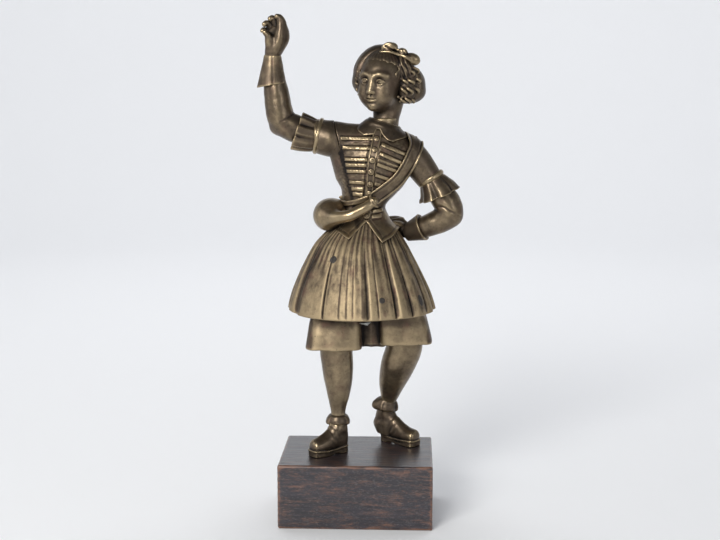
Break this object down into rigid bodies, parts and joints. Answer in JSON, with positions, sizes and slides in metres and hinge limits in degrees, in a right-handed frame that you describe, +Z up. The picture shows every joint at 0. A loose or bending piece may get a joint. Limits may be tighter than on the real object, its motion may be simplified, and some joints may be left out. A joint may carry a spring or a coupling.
{
  "type": "statuette",
  "caption": "Cast ornament: a child in an old-fashioned pleated coat with a raised arm, a hand on the hip and a gourd flask, standing on a plain wooden block.",
  "frame": {"origin": "centre of the wooden block's underside", "axes": "+X towards the figure's left hand side, +Y towards its back, +Z up"},
  "size_m": [0.1202, 0.0762, 0.2953],
  "materials": {
    "patinated_brass": "brown-black patina in the hollows, rubbed to olive gold on the high places",
    "dark_brass": "dark, dull patina",
    "solder": "soft solder, grey and satin",
    "stained_wood": "dark stain with open pores, worn reddish brown on the edges",
    "steel_fixing": "zinc-plated, dull"
  },
  "bodies": {
    "root": {"wood_block": "stained_wood", "foot_stud_right": "steel_fixing", "foot_washer_right": "steel_fixing", "foot_nut_right": "steel_fixing", "boot_right": "patinated_brass", "boot_cuff_right": "patinated_brass", "leg_right": "patinated_brass", "upper_sleeve_right": "patinated_brass", "sleeve_band_right": "patinated_brass", "sleeve_ruffle_right": "patinated_brass", "forearm_right": "patinated_brass", "gauntlet_right": "patinated_brass", "hand_right": "patinated_brass", "foot_stud_left": "steel_fixing", "foot_washer_left": "steel_fixing", "foot_nut_left": "steel_fixing", "boot_left": "patinated_brass", "boot_cuff_left": "patinated_brass", "leg_left": "patinated_brass", "upper_sleeve_left": "patinated_brass", "sleeve_band_left": "patinated_brass", "sleeve_ruffle_left": "patinated_brass", "forearm_left": "patinated_brass", "gauntlet_left": "patinated_brass", "hand_left": "patinated_brass", "breeches": "patinated_brass", "skirt": "patinated_brass", "bodice": "patinated_brass", "collar": "patinated_brass", "shoulder_strap": "patinated_brass", "flask_sling": "patinated_brass", "button_band": "patinated_brass", "flask": "patinated_brass", "flask_mouth_ring": "patinated_brass", "head": "patinated_brass", "hair": "patinated_brass", "cap": "patinated_brass", "cap_bow": "patinated_brass", "core_plug_1": "dark_brass", "core_plug_2": "dark_brass", "core_plug_3": "dark_brass", "solder_bead": "solder"}
  },
  "joints": []
}
